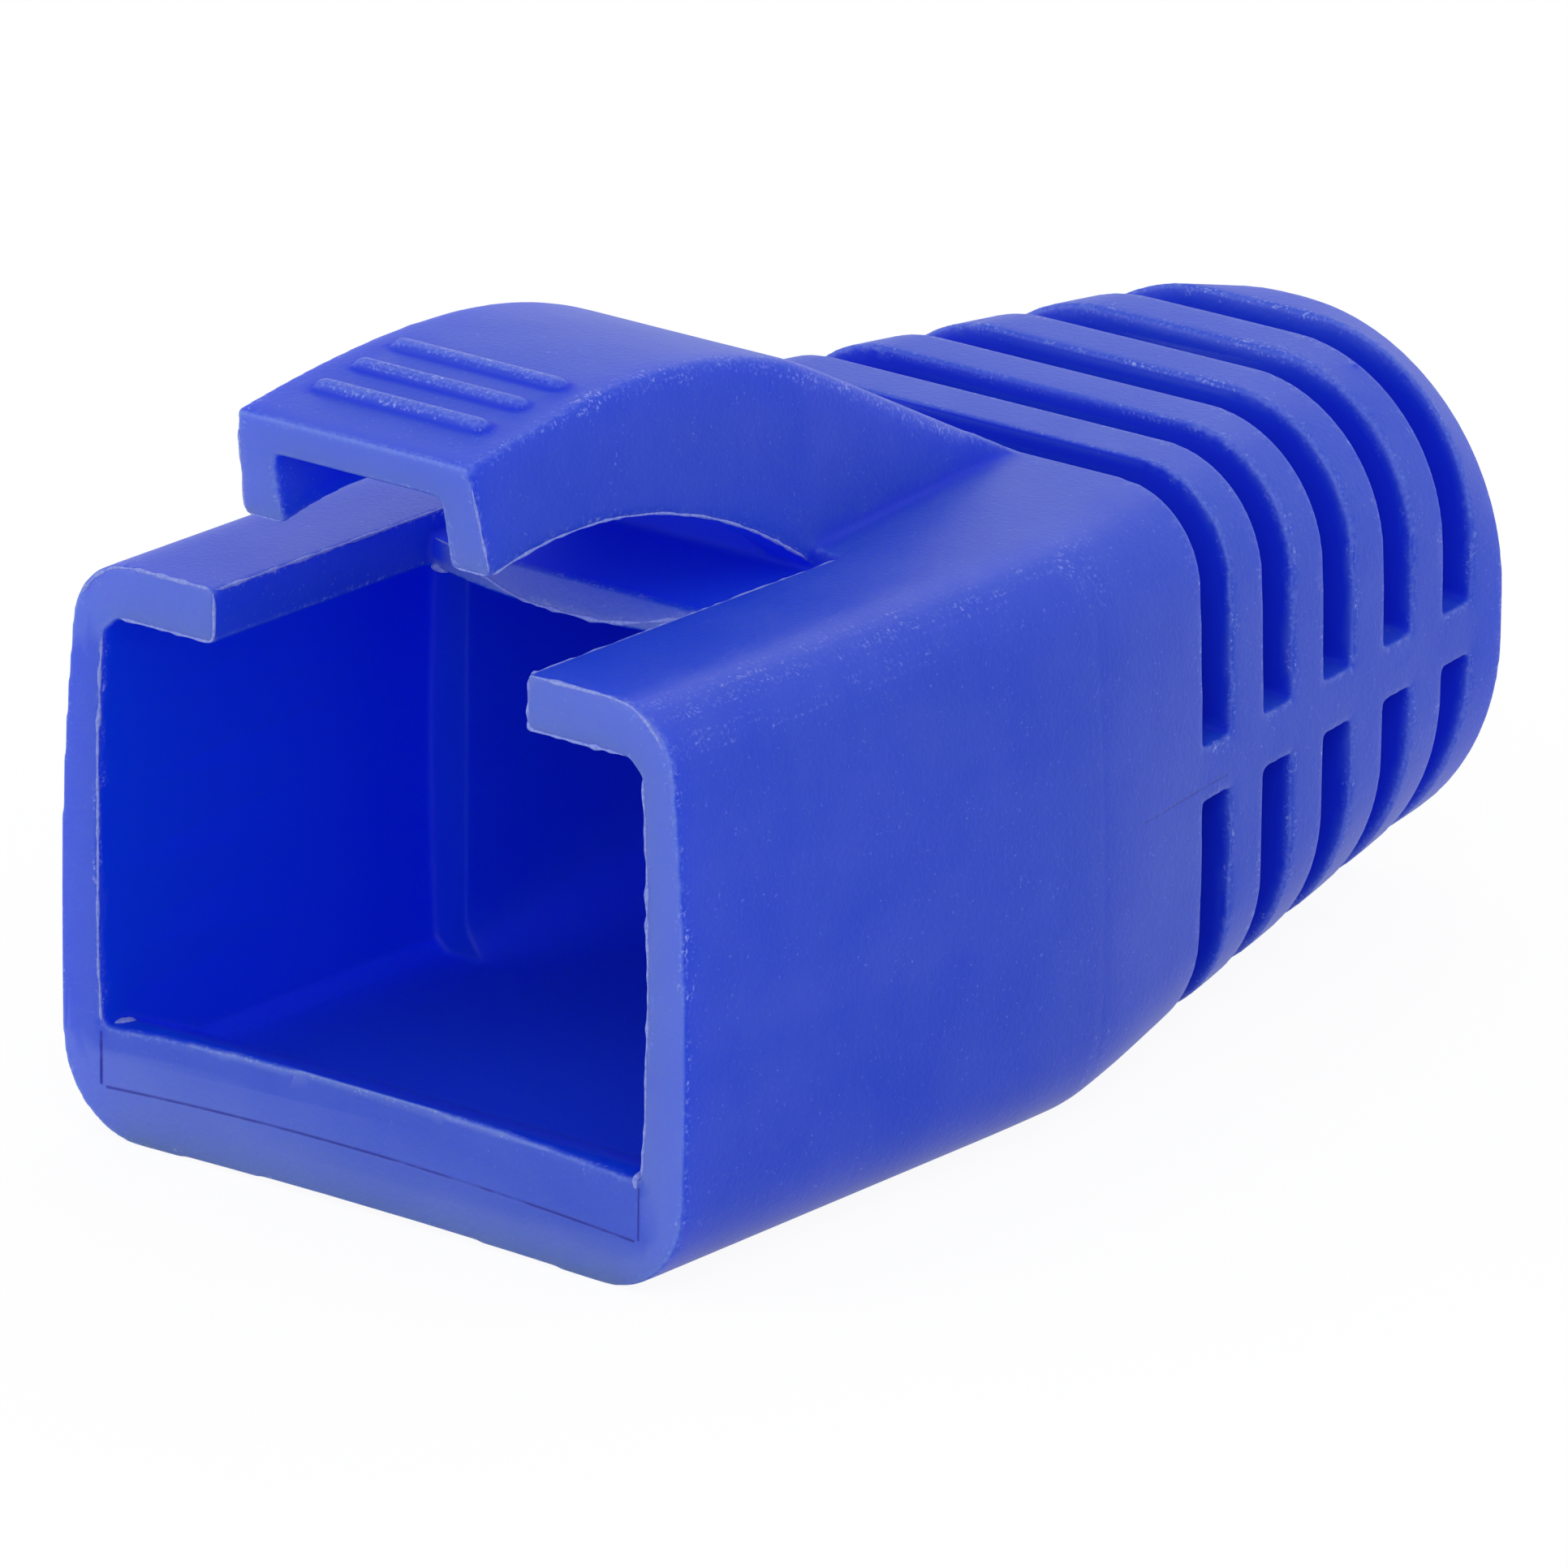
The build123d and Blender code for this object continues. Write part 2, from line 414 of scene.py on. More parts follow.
    def blend(
        self,
        tree: bpy.types.NodeTree,
        share: bpy.types.NodeSocket,
        first: bpy.types.NodeSocket | Colour,
        second: Colour,
    ) -> bpy.types.NodeSocket:
        """Mixes two colours.

        Args:
            tree: Node tree of the material.
            share: Socket with the second colour's share.
            first: First colour, or a socket that gives it.
            second: Second colour.

        Returns:
            Socket with the mixed colour.
        """
        mix = add_node(tree, "ShaderNodeMix", data_type="RGBA")
        sockets = {socket.identifier: socket for socket in mix.inputs}
        sockets["B_Color"].default_value = second
        if isinstance(first, tuple):
            sockets["A_Color"].default_value = first
        else:
            tree.links.new(first, sockets["A_Color"])
        tree.links.new(share, sockets["Factor_Float"])
        return {socket.identifier: socket for socket in mix.outputs}["Result_Color"]


@dataclass
class SkinPoints:
    """Vertices and edges of a mesh as arrays, in millimetres."""

    spot: np.ndarray
    first: np.ndarray
    second: np.ndarray

    @classmethod
    def read(cls, mesh: bpy.types.Mesh, scale: float) -> "SkinPoints":
        """Reads the arrays from a mesh.

        Args:
            mesh: Mesh to read.
            scale: Factor from the mesh's unit to millimetres.

        Returns:
            The arrays.
        """
        spot = np.empty(len(mesh.vertices) * 3, np.float32)
        mesh.vertices.foreach_get("co", spot)
        ends = np.empty(len(mesh.edges) * 2, np.int32)
        mesh.edges.foreach_get("vertices", ends)
        first, second = ends.reshape(-1, 2).T
        return cls(spot.reshape(-1, 3).astype(float) * scale, first, second)

    def around(self, value: np.ndarray) -> np.ndarray:
        """Gives each vertex the mean of a value over its neighbours.

        Args:
            value: One number for each vertex.

        Returns:
            The means.
        """
        return self.average(value[self.second], value[self.first])

    def average(self, at_first: np.ndarray, at_second: np.ndarray) -> np.ndarray:
        """Averages over each vertex's edges what the edges give to their two ends.

        Args:
            at_first: What each edge gives to its first end.
            at_second: What each edge gives to its second end.

        Returns:
            The average at each vertex.
        """
        count = len(self.spot)
        total = np.bincount(self.first, at_first, count)
        total += np.bincount(self.second, at_second, count)
        edges = np.bincount(self.first, minlength=count)
        edges += np.bincount(self.second, minlength=count)
        return total / np.maximum(edges, 1)

    def even_out(self, weight: np.ndarray, rounds: int) -> None:
        """Moves each vertex half of its weight towards its neighbours' mean, a number of times.

        Args:
            weight: Weight of each vertex, 0 to hold it.
            rounds: How often they move.
        """
        for _ in range(rounds):
            mean = np.column_stack([self.around(self.spot[:, axis]) for axis in range(3)])
            self.spot += 0.5 * weight[:, None] * (mean - self.spot)

    def bend(self, normal: np.ndarray) -> np.ndarray:
        """Measures how far each vertex stands above its neighbours.

        It is the mean of that height over the squared distance: half the mean curvature, positive
        on an outward bend. An edge of radius r has about 1 / (4 r).

        Args:
            normal: Normal at each vertex.

        Returns:
            The bend at each vertex, per millimetre.
        """
        span = self.spot[self.second] - self.spot[self.first]
        square = np.einsum("ij,ij->i", span, span) + 1e-9
        at_first = -np.einsum("ij,ij->i", span, normal[self.first]) / square
        at_second = np.einsum("ij,ij->i", span, normal[self.second]) / square
        return self.average(at_first, at_second)


def read_normals(mesh: bpy.types.Mesh) -> np.ndarray:
    """Reads a mesh's vertex normals.

    Args:
        mesh: Mesh to read.

    Returns:
        One normal in each row.
    """
    normal = np.empty(len(mesh.vertices) * 3, np.float32)
    mesh.vertices.foreach_get("normal", normal)
    return normal.reshape(-1, 3).astype(float)


@dataclass
class BootMoulding:
    """The boot as it leaves the mould: one closed skin with small radii. In millimetres."""

    cell: float = 0.05
    first_rounds: int = 12
    later_rounds: int = 50
    faces_kept: int = 170_000
    mouth_depth: float = 0.12
    stop_place: float = 8.9
    sleeve_start: float = 15.1
    slots_end: float = 25.3
    slot_pitch: float = 2.17
    slot_count: int = 5
    slot_margin: float = 0.3
    sectors: int = 120
    hollow_half: float = 6.15
    hollow_floor: float = -4.45
    hollow_ceiling: float = 4.15
    bore_radius: float = 4.35
    bend_place: float = 11.6
    bend_reach: float = 2.4
    bend_slope: float = 0.143
    side_inner: float = 5.6
    side_blend: float = 0.8
    guard_places: tuple[float, ...] = (-0.49, 3.8, 9.0, 15.1)
    guard_heights: tuple[float, ...] = (8.64, 9.15, 8.12, 5.1)
    guard_edge_inner: float = 1.95
    ridge_zone: tuple[float, float, float] = (1.95, 0.45, 3.35)
    ridge_weight: float = 0.35
    calm_bend: Span = (0.45, 0.9)
    crisp_bend: float = 0.8
    upper_edge_reach: float = 0.7
    upper_edge_rise: float = 0.6
    upper_edge_stretch: Span = (0.3, 4.5)
    upper_edge_least: float = 0.12
    recess_start: float = 5.6
    recess_half: float = 3.42
    recess_height: float = 4.8
    guard_half: float = 2.85
    guard_end: float = 9.3
    # Where each mask lies, and how strong it is.
    roof_margin: float = 0.15
    roof_places: Span = (0.1, 1.2)
    roof_front: float = 1.0
    most_outward: float = 0.5
    most_forward: float = -0.6
    plate_margin: float = 0.55
    crease_bend: Span = (0.35, 1.0)
    crease_places: Span = (0.3, 0.8)
    crease_share: float = 0.75
    crease_spread: int = 4
    room_taper: float = 0.25
    hollow_places: Span = (0.1, 1.5)
    grain_start: float = -0.6
    slot_lip: float = 0.03
    sill_height: float = -3.3
    sill_front_sheen: float = 0.45
    post_height: float = 3.6
    post_front_sheen: float = 0.5
    ridge_front_sheen: float = 0.2
    slot_front_sheen: float = 0.5
    slot_front_sheen_depth: float = 0.4
    front_sheen_end: float = 7.0
    front_facing: Span = (0.55, 0.95)
    wall_facing: Span = (0.5, 0.9)
    floor_facing: Span = (0.3, 0.8)
    wall_level: float = 0.35
    fade_depths: Span = (0.32, 0.8)
    fade_places: Span = (1.0, 4.2)
    edge_glint_bend: Span = (0.8, 2.0)
    edge_glint_share: float = 0.3
    ridge_bend: Span = (0.3, 0.9)
    ridge_edge_glint_share: float = 0.35
    corner_bend: Span = (0.10, 0.22)
    edge_bend: Span = (0.6, 1.2)
    thin_places: Span = (13.5, 15.6)
    thin_loss: float = 0.5
    shaded_loss: float = 0.6
    edge_spots: np.ndarray = field(default_factory=lambda: np.zeros((0, 3)))

    def build(self, node: bpy.types.Object, finish: bpy.types.Material) -> bpy.types.Object:
        """Makes the skin from the CAD node, marks it for the finish and hides the node.

        Args:
            node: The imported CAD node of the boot.
            finish: Material of the moulding.

        Returns:
            The dressed moulding.
        """
        skin = self.fill_cells(node)
        self.soften(skin)
        boot = bpy.data.objects.new("boot_moulding", self.thin(skin))
        bpy.context.scene.collection.objects.link(boot)
        self.mark(boot.data)
        boot.data.materials.clear()
        boot.data.materials.append(finish)
        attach(boot, "root")
        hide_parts(node.name)
        return boot

    def fill_cells(self, node: bpy.types.Object) -> bpy.types.Mesh:
        """Rebuilds the form from small cells.

        Args:
            node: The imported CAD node, whose mesh is copied and left as it is.

        Returns:
            The new mesh, in millimetres.
        """
        merged = bmesh.new()
        merged.from_mesh(node.data)
        bmesh.ops.remove_doubles(merged, verts=merged.verts, dist=0.002 * MM)
        bmesh.ops.scale(merged, vec=(1 / MM,) * 3, verts=merged.verts)
        sharp = bpy.data.meshes.new("boot_sharp")
        merged.to_mesh(sharp)
        merged.free()
        work = bpy.data.objects.new("boot_sharp", sharp)
        bpy.context.scene.collection.objects.link(work)
        cells = work.modifiers.new("cells", "REMESH")
        cells.mode = "VOXEL"
        cells.voxel_size = self.cell
        graph = bpy.context.evaluated_depsgraph_get()
        skin = bpy.data.meshes.new_from_object(work.evaluated_get(graph))
        bpy.data.objects.remove(work)
        bpy.data.meshes.remove(sharp)
        return skin

    def soften(self, skin: bpy.types.Mesh) -> None:
        """Evens the cells out, which rounds each edge by about three of them.

        A second, longer evening takes the facets out of the smooth faces and holds the edges and
        the grip ridges. Along the guard's upper edges it works too, and more so towards the rear,
        where the real ones are rounder. The places of the crisp edges are kept for the flash.

        Args:
            skin: Mesh in millimetres, which is changed in place.
        """
        points = SkinPoints.read(skin, 1.0)
        across, along, up = points.spot.T
        half, start, end = self.ridge_zone
        ridges = (np.abs(across) < half) & (along > start) & (along < end)
        ridges &= up > self.guard_heights[0]
        points.even_out(np.where(ridges, self.ridge_weight, 1.0), self.first_rounds)
        skin.vertices.foreach_set("co", points.spot.astype(np.float32).ravel())
        skin.update()
        bend = points.bend(read_normals(skin))
        across, along, up = points.spot.T
        self.edge_spots = points.spot[bend > self.crisp_bend]
        calm = 1.0 - shape_values(np.abs(bend), *self.calm_bend)
        crest = np.interp(along, self.guard_places, self.guard_heights)
        upper = (up > crest - self.upper_edge_reach) & (np.abs(across) > self.guard_edge_inner)
        upper &= up > self.guard_heights[-1] + self.upper_edge_rise
        least = self.upper_edge_least
        rounder = least + (1.0 - least) * shape_values(along, *self.upper_edge_stretch)
        rounder = np.where(upper, rounder, 0.0)
        weight = np.where(ridges, 0.0, np.maximum(calm, rounder))
        points.even_out(weight, self.later_rounds)
        self.ease(points)
        skin.vertices.foreach_set("co", points.spot.astype(np.float32).ravel())
        skin.update()

    def ease(self, points: SkinPoints) -> None:
        """Turns the bend where the sleeve's taper starts into a slow curve.

        The sides move inwards by slope / (4 reach) times the square of the way into the stretch,
        counted from its nearer end, so the two straight stretches meet in a parabola.

        Args:
            points: Skin that is changed in place.
        """
        across, along = points.spot[:, 0], points.spot[:, 1]
        way = np.clip(self.bend_reach - np.abs(along - self.bend_place), 0.0, None)
        side = self.side_inner
        share = shape_values(np.abs(across), side, side + self.side_blend)
        inwards = share * self.bend_slope * way**2 / (4 * self.bend_reach)
        points.spot[:, 0] -= np.sign(across) * inwards

    def thin(self, skin: bpy.types.Mesh) -> bpy.types.Mesh:
        """Takes out faces where the skin is flat, and scales it to metres.

        Args:
            skin: Mesh in millimetres, which is removed.

        Returns:
            The finished mesh.
        """
        work = bpy.data.objects.new("boot_full", skin)
        bpy.context.scene.collection.objects.link(work)
        thinned = work.modifiers.new("thinned", "DECIMATE")
        thinned.ratio = min(1.0, self.faces_kept / (2 * len(skin.polygons)))
        graph = bpy.context.evaluated_depsgraph_get()
        light = bpy.data.meshes.new_from_object(work.evaluated_get(graph))
        light.transform(Matrix.Scale(MM, 4))
        light.name = "boot_moulding"
        light.shade_smooth()
        bpy.data.objects.remove(work)
        bpy.data.meshes.remove(skin)
        return light

    def sink(self, points: SkinPoints) -> np.ndarray:
        """Measures how far each vertex of the sleeve lies below its outside, towards the axis.

        The outside is the largest distance from the axis in the same sector and at the same slot.

        Args:
            points: Skin in millimetres.

        Returns:
            The depth of each vertex, which means nothing outside the sleeve.
        """
        across, along, up = points.spot.T
        turn = np.arctan2(up, across) / (2 * np.pi) + 0.5
        sector = (turn * self.sectors).astype(int) % self.sectors
        place = (along - self.sleeve_start) / self.slot_pitch
        place = np.clip(place, 0.0, self.slot_count).astype(int)
        reach = np.hypot(across, up)
        outside = np.zeros((self.sectors, self.slot_count + 1))
        sleeve = along > self.sleeve_start + self.slot_margin
        np.maximum.at(outside, (sector[sleeve], place[sleeve]), reach[sleeve])
        return outside[sector, place] - reach

    def roof(self, points: SkinPoints, normal: np.ndarray) -> np.ndarray:
        """Finds the faces under the guard, which get painted fill light: the recess and the insides
        of the legs and the plate.

        Args:
            points: Skin in millimetres.
            normal: Normal at each vertex.

        Returns:
            A share from 0 to 1 for each vertex.
        """
        across, along, up = points.spot.T
        crest = np.interp(along, self.guard_places, self.guard_heights)
        near = (up > self.hollow_ceiling + self.roof_margin) & (along < self.guard_end)
        floor = near & (np.abs(across) < self.recess_half) & (up < self.recess_height)
        under = near & (np.abs(across) < self.guard_half)
        under &= (up >= self.recess_height) & (up < crest - self.plate_margin)
        under &= np.sign(across) * normal[:, 0] < self.most_outward
        under &= (normal[:, 1] > self.most_forward) | (along > self.roof_front)
        behind = shape_values(along, self.recess_start - 0.1, self.recess_start + 0.1)
        covered = np.where(under, shape_values(along, *self.roof_places), 0.0)
        return np.where(floor, behind, covered)

    def crease(self, points: SkinPoints, bend: np.ndarray) -> np.ndarray:
        """Finds the inward bends, spread to the vertices near them, for the painted shade in the
        creases.

        Args:
            points: Skin in millimetres.
            bend: Bend at each vertex.

        Returns:
            A share from 0 to the crease's for each vertex.
        """
        share = self.crease_share * shape_values(-bend, *self.crease_bend)
        share *= shape_values(points.spot[:, 1], *self.crease_places)
        for _ in range(self.crease_spread):
            share = np.maximum(share, points.around(share))
        return share

    def mark(self, skin: bpy.types.Mesh) -> None:
        """Stores where the grain lies, where glints and sheen are painted, and where painted fill
        light and painted shade go.

        The painted fill light lies in the plug's room, narrowing behind the stop, and counts in
        full on its floor. The painted sheen lies on the outer faces that look to the mouth's side.
        A slot's walls get painted shade with their depth, over a longer way on the top than on the
        sides.

        Args:
            skin: Mesh of the moulding, in metres.
        """
        points = SkinPoints.read(skin, 1 / MM)
        normal = read_normals(skin)
        bend = points.bend(normal)
        across, along, up = points.spot.T
        half, start, end = self.ridge_zone
        ridges = (np.abs(across) < half) & (along > start) & (along < end)
        ridges &= up > self.guard_heights[0] - 0.2
        room = self.hollow_half - self.room_taper * np.clip(along - self.stop_place, 0.0, None)
        inside = (np.abs(across) < room) & (up > self.hollow_floor) & (up < self.hollow_ceiling)
        inside &= along < self.sleeve_start
        lining = inside & (along > self.mouth_depth)
        bore = (along >= self.sleeve_start) & (np.hypot(across, up) < self.bore_radius)

        # Painted shade: the slot walls darken with their depth, and the inward creases and the bore
        # too.
        slotted = (along > self.sleeve_start - 0.05) & (along < self.slots_end)
        depth = self.sink(points)
        wall = np.where(slotted, shape_values(np.abs(normal[:, 1]), *self.wall_facing), 0.0)
        side_fade, top_fade = self.fade_depths
        fade = top_fade * (1.0 - shape_values(np.abs(across), *self.fade_places))
        fade = side_fade + fade * np.where(up > 0.0, 1.0, 0.0)
        sunk = wall * shape_values(depth, self.slot_lip, fade)
        shaded = np.where(inside, 0.0, self.crease(points, bend))
        shaded = np.where(bore, 1.0, np.maximum(shaded, sunk))

        # Painted fill light: full on the hollow's up-facing floor, less on its walls, and under the
        # guard.
        level = (1.0 - self.wall_level) * shape_values(normal[:, 2], *self.floor_facing)
        level = (self.wall_level + level) * shape_values(along, *self.hollow_places)
        hollow = np.where(inside, level, self.roof(points, normal))
        outer = np.where(lining | bore, 0.0, 1.0) * (1.0 - shaded)
        outer *= np.where(inside, 1.0, 1.0 - hollow)

        sill = (np.abs(across) < self.hollow_half) & (up < self.sill_height)
        sill &= up > self.hollow_floor - 0.1
        post = (across < -self.side_inner) & (np.abs(up) < self.post_height)
        # Painted sheen on the faces turned to the front, weaker on the ridges, sill and left post,
        # and only on the slots' rims.
        front = shape_values(-normal[:, 1], *self.front_facing)
        front *= np.where(ridges, self.ridge_front_sheen, 1.0) * np.where(sill, self.sill_front_sheen, 1.0)
        rim = self.slot_front_sheen * (1.0 - shape_values(depth, 0.0, self.slot_front_sheen_depth))
        front *= np.where(along < self.front_sheen_end, 1.0, np.where(slotted, rim, 0.0))
        front *= np.where(post, self.post_front_sheen, 1.0)

        # Painted highlights along the convex edges and the ridges' crests, and painted glints on
        # the rounded corners.
        edge_glint = self.edge_glint_share * shape_values(bend, *self.edge_glint_bend)
        edge_glint = np.where(ridges, self.ridge_edge_glint_share * shape_values(bend, *self.ridge_bend), edge_glint)
        corner = shape_values(bend, *self.corner_bend) * (1.0 - shape_values(bend, *self.edge_bend))
        thick = 1.0 - self.thin_loss * shape_values(along, *self.thin_places)
        layers = {
            Mask.GRAIN: outer * shape_values(along, self.grain_start, self.mouth_depth),
            Mask.EDGE: outer * edge_glint,
            Mask.CORNER: outer * corner,
            Mask.FRONT_SHEEN: outer * front,
            Mask.PAINTED_FILL: hollow,
            Mask.PAINTED_SHADE: shaded,
            Mask.GLOW: thick * (1.0 - self.shaded_loss * shaded),
        }
        store_masks(skin, layers)


def store_masks(mesh: bpy.types.Mesh, layers: dict[Mask, np.ndarray]) -> None:
    """Writes the masks that the finish reads as attributes of the mesh.

    Args:
        mesh: Mesh that gets them.
        layers: One array for each mask, with a number for each vertex.
    """
    for mask, values in layers.items():
        layer = mesh.attributes.new(mask.value, "FLOAT", "POINT")
        layer.data.foreach_set("value", values.astype(np.float32))


def tube_faces(rings: int, sides: int) -> np.ndarray:
    """Lists the faces of a tube with a flat cap on both ends.

    Args:
        rings: Number of rings, whose points follow each other.
        sides: Number of points in each ring.

    Returns:
        Faces as rows of four.
    """
    row = np.arange(rings - 1)[:, None] * sides
    here = np.arange(sides)[None, :]
    after = (here + 1) % sides
    corners = [row + here, row + after, row + sides + after, row + sides + here]
    walls = np.stack(corners, axis=2).reshape(-1, 4)
    caps = []
    for start in range(0, sides - 2, 2):
        quad = np.array([0, start + 1, start + 2, (start + 3) % sides])
        caps += [quad[::-1], (rings - 1) * sides + quad]
    return np.concatenate([walls, np.array(caps)])


@dataclass(frozen=True)
class MouldMarks:
    """Flash along the crisp edges and the small torn nubs that the mould left. In millimetres."""

    thickness: float = 0.034
    step: float = 0.04
    sides: int = 8
    reach: float = 0.25
    seed: int = 11
    fewest_points: int = 12
    smoothing: int = 9
    off_axis: Place = (0.31, 0.45, 0.84)
    knot_gap: int = 4
    dot_level: float = 0.9
    dot_size: float = 0.8
    thinnest: float = 0.35
    swing: float = 0.8
    end_points: float = 5.0
    end_share: float = 0.02
    nub_turns: int = 16
    nub_rings: int = 11
    nub_pole: float = 0.02
    nub_swells: Span = (0.14, 0.10)
    room_half: float = 5.95
    room_corner: float = 0.3
    room_bulge: float = 0.16
    room_ceiling: float = 4.1
    room_middle: float = -0.15
    sill_top: float = -3.4
    hood_top: float = 5.1
    slot_half: float = 3.46
    slot_end: float = 5.75
    slot_bow: float = 0.6
    recess_end: float = 8.3
    corner_start: float = 5.25
    corner_radius: float = 1.3
    corner_turn: Span = (90.0, 25.0)
    ramp_foot: Span = (5.15, 4.1)
    ramp_slope: float = 1.375
    ramp_top: float = 4.65
    leg_inner: float = 1.83
    leg_corner: Place = (2.74, -0.06, 6.61)
    leg_top: Place = (2.61, -0.42, 8.3)
    leg_foot: Span = (2.9, 4.75)
    leg_draft: float = 0.083
    arch_places: tuple[float, ...] = (-0.06, 0.81, 1.92, 3.13, 4.43, 5.75, 7.0, 7.88, 8.35)
    arch_heights: tuple[float, ...] = (6.61, 6.78, 6.90, 6.88, 6.66, 6.25, 5.66, 5.18, 4.90)

    def build(self, edge_spots: np.ndarray, finish: bpy.types.Material) -> bpy.types.Object:
        """Makes the flash and the nubs as one piece.

        Args:
            edge_spots: Places of the skin's crisp edges, which the flash sits on.
            finish: Material of the moulding.

        Returns:
            The finished piece.
        """
        chance = np.random.default_rng(self.seed)
        parts = [self.bead(self.settle(path, edge_spots), chance) for path in self.edges()]
        parts += [self.nub(*nub, chance) for nub in self.nubs()]
        starts = np.cumsum([0] + [len(spots) for spots, _ in parts])
        spots = np.concatenate([spots for spots, _ in parts]) * MM
        faces = np.concatenate([faces + start for (_, faces), start in zip(parts, starts)])
        mesh = bpy.data.meshes.new("mould_flash")
        mesh.from_pydata(spots.tolist(), [], faces.tolist())
        turned = bmesh.new()
        turned.from_mesh(mesh)
        bmesh.ops.recalc_face_normals(turned, faces=turned.faces)
        turned.to_mesh(mesh)
        turned.free()
        mesh.shade_smooth()
        count = len(mesh.vertices)
        # The flash gets painted edge highlights and painted sheen in full.
        full = (Mask.EDGE, Mask.FRONT_SHEEN)
        store_masks(mesh, {mask: np.full(count, float(mask in full)) for mask in Mask})
        mesh.materials.append(finish)
        flash = bpy.data.objects.new("mould_flash", mesh)
        bpy.context.scene.collection.objects.link(flash)
        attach(flash, "root")
        return flash

    def run(self, ends: list[Place] | np.ndarray) -> np.ndarray:
        """Divides a line through some points evenly.

        Args:
            ends: The points that the line joins.

        Returns:
            Points along it, a step apart.
        """
        corners = np.array(ends, float)
        lengths = np.linalg.norm(np.diff(corners, axis=0), axis=1)
        way = np.concatenate([[0.0], np.cumsum(lengths)])
        at = np.linspace(0.0, way[-1], max(4, round(way[-1] / self.step)))
        return np.column_stack([np.interp(at, way, corners[:, axis]) for axis in range(3)])

    def edges(self) -> list[np.ndarray]:
        """Lists the edges that carry flash: those of one side, mirrored, and the slot's end.

        A post's inner edge bulges as half + bulge (1 - ((z - middle) / (ceiling - middle))^2), and
        the slot's end is an arc, taken as end - bow (1 - (x / half)^2).

        Returns:
            The edges, each as a row of points.
        """
        ceiling, top, inner = self.room_ceiling, self.hood_top, self.slot_half
        height = np.linspace(ceiling - self.room_corner, self.sill_top, 160)
        lift = (height - self.room_middle) / (ceiling - self.room_middle)
        post = self.room_half + self.room_bulge * (1.0 - lift**2)
        turn = np.radians(np.linspace(*self.corner_turn, 40))
        turned = self.corner_start + self.corner_radius * np.cos(turn)
        fallen = top - self.corner_radius * (1.0 - np.sin(turn))
        foot_half, foot_height = self.leg_foot
        places, heights = np.array(self.arch_places), np.array(self.arch_heights)
        leg = foot_half - self.leg_draft * (heights - foot_height)
        ledge = self.room_half - self.room_corner
        half_edges = [
            np.column_stack([post, np.zeros_like(post), height]),
            self.run([(ledge, 0, ceiling), (inner, 0, ceiling), (inner, 0, top)]),
            self.run([(inner, 0, top), (inner, self.recess_end, top)]),
            np.concatenate(
                [
                    self.run([(inner, 0, top), (self.corner_start, 0, top)]),
                    np.column_stack([turned, np.zeros_like(turn), fallen]),
                ]
            ),
            self.run(np.column_stack([leg, places, heights])),
            self.run([(self.leg_inner, *self.leg_corner[1:]), self.leg_corner]),
            self.run([self.leg_corner, self.leg_top]),
        ]
        width = np.linspace(-inner, inner, 170)
        bow = self.slot_end - self.slot_bow * (1.0 - (width / inner) ** 2)
        foot_place, foot_height = self.ramp_foot
        rise = np.minimum(self.ramp_top, foot_height + self.ramp_slope * (bow - foot_place))
        both_sides = [edge * (side, 1.0, 1.0) for side in (-1.0, 1.0) for edge in half_edges]
        return [*both_sides, np.column_stack([width, bow, rise])]

    def settle(self, path: np.ndarray, edge_spots: np.ndarray) -> np.ndarray:
        """Moves a path onto the nearest edge of the skin and evens it out.

        Args:
            path: Points of the path.
            edge_spots: Places of the skin's crisp edges.

        Returns:
            The settled path, without the points that have no edge in reach.
        """
        gap = ((path[:, None, :] - edge_spots[None, :, :]) ** 2).sum(axis=2)
        nearest = gap.argmin(axis=1)
        near = gap[np.arange(len(path)), nearest] < self.reach**2
        settled = edge_spots[nearest[near]]
        if len(settled) < self.fewest_points:
            return settled
        kernel = np.ones(self.smoothing) / self.smoothing
        margin = self.smoothing // 2
        padded = np.pad(settled, ((margin, margin), (0, 0)), "edge")
        return np.column_stack([np.convolve(padded[:, axis], kernel, "valid") for axis in range(3)])

    def bead(
        self, path: np.ndarray, chance: np.random.Generator
    ) -> tuple[np.ndarray, np.ndarray]:
        """Sweeps an uneven bead along a path.

        At each point a ring of points lies across the path, at path + r (cos a u + sin a v). The
        radius r is the thickness times a smooth random number, with a few thicker dots, and falls
        to almost 0 at both ends.

        Args:
            path: Points of the path.
            chance: Source of the random numbers.

        Returns:
            Points, and faces as rows of four.
        """
        count = len(path)
        if count < self.fewest_points:
            return np.zeros((0, 3)), np.zeros((0, 4), int)
        along = np.gradient(path, axis=0)
        along /= np.linalg.norm(along, axis=1)[:, None] + 1e-9
        aside = np.cross(along, np.array(self.off_axis))
        aside /= np.linalg.norm(aside, axis=1)[:, None] + 1e-9
        above = np.cross(along, aside)
        knots = chance.random(max(4, count // self.knot_gap))
        dots = np.where(chance.random(len(knots)) > self.dot_level, self.dot_size, 0.0)
        at, knot_places = np.linspace(0, len(knots) - 1, count), np.arange(len(knots))
        wave = np.interp(at, knot_places, knots)
        spots = np.interp(at, knot_places, dots)
        ends = np.minimum(np.arange(count), np.arange(count)[::-1]) / self.end_points
        radius = self.thickness * (self.thinnest + self.swing * wave + spots)
        radius *= np.clip(ends, self.end_share, 1.0)
        angle = np.linspace(0.0, 2 * np.pi, self.sides, endpoint=False)[None, :, None]
        ring = np.cos(angle) * aside[:, None] + np.sin(angle) * above[:, None]
        points = (path[:, None] + radius[:, None, None] * ring).reshape(-1, 3)
        return points, tube_faces(count, self.sides)

